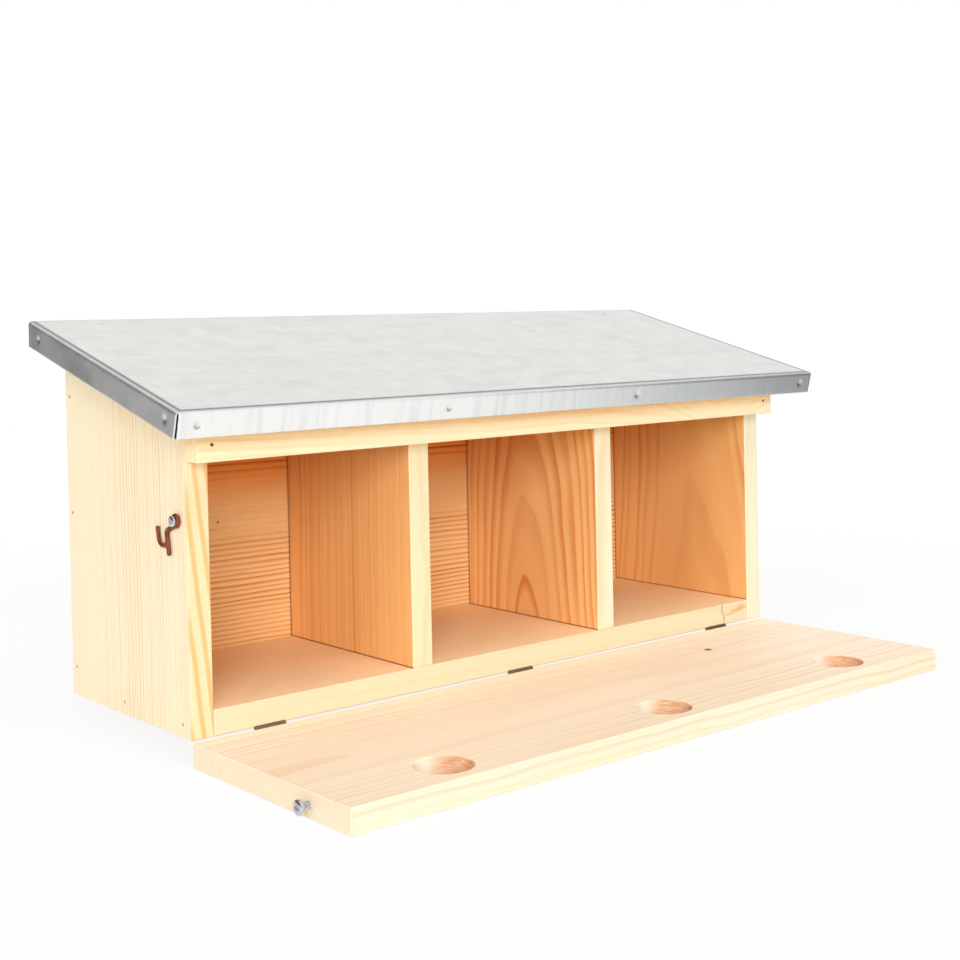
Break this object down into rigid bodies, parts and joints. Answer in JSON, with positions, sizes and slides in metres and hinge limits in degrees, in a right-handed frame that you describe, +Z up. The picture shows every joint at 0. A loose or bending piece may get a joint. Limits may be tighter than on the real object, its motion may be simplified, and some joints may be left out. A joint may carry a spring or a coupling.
{
  "type": "sparrow nest box",
  "caption": "Wooden nest box for sparrows with separate chambers, a metal-clad lean-to roof, a hinged drop-down front with round entrance holes, and swing hooks that hold it shut.",
  "frame": {"origin": "on the wall plane, midway between the two wall screws", "axes": "+X along the front to the right, +Y into the wall, +Z up"},
  "size_m": [0.5252, 0.3018, 0.2472],
  "materials": {
    "pine_carcass": "planed, untreated",
    "pine_front": "planed, untreated",
    "pine_roof": "planed, untreated",
    "galvanised_sheet": "galvanised, matt",
    "zinc_hinge": "zinc plated",
    "zinc_fastener": "zinc plated",
    "bronze_hook": "bronzed"
  },
  "bodies": {
    "box": {"side_left": "pine_carcass", "side_right": "pine_carcass", "floor_board": "pine_carcass", "back_panel": "pine_carcass", "partition_left": "pine_carcass", "partition_right": "pine_carcass", "front_rail": "pine_front", "roof_board": "pine_roof", "roof_sheet": "galvanised_sheet", "hinge_left_box_leaf": "zinc_hinge", "hinge_left_pin": "zinc_hinge", "hinge_centre_box_leaf": "zinc_hinge", "hinge_centre_pin": "zinc_hinge", "hinge_right_box_leaf": "zinc_hinge", "hinge_right_pin": "zinc_hinge", "hinge_screws_box": "zinc_fastener", "hook_screw_left": "zinc_fastener", "hook_screw_right": "zinc_fastener", "side_nails_left": "zinc_fastener", "side_nails_right": "zinc_fastener", "rail_nails": "zinc_fastener", "partition_back_nails": "zinc_fastener", "partition_floor_nails": "zinc_fastener", "roof_board_nails": "zinc_fastener", "roof_sheet_nails": "zinc_fastener"},
    "front": {"front_door": "pine_front", "hinge_screws_door": "zinc_fastener", "catch_screw_left": "zinc_fastener", "catch_screw_right": "zinc_fastener", "hinge_left_door_leaf": "zinc_hinge", "hinge_centre_door_leaf": "zinc_hinge", "hinge_right_door_leaf": "zinc_hinge"},
    "left_hook": {"hook_left": "bronze_hook"},
    "right_hook": {"hook_right": "bronze_hook"}
  },
  "joints": [
    {"name": "front_hinge", "type": "hinge", "parent": "box", "child": "front", "pos_m": [0, -0.15025, -0.1305], "axis": [-1, 0, 0], "range_deg": [-90, 90]},
    {"name": "left_hook_pivot", "type": "hinge", "parent": "box", "child": "left_hook", "pos_m": [-0.24, -0.1405, -0.009], "axis": [1, 0, 0], "range_deg": [-60, 233.44]},
    {"name": "right_hook_pivot", "type": "hinge", "parent": "box", "child": "right_hook", "pos_m": [0.24, -0.1405, -0.009], "axis": [1, 0, 0], "range_deg": [-60, 233.44]}
  ]
}
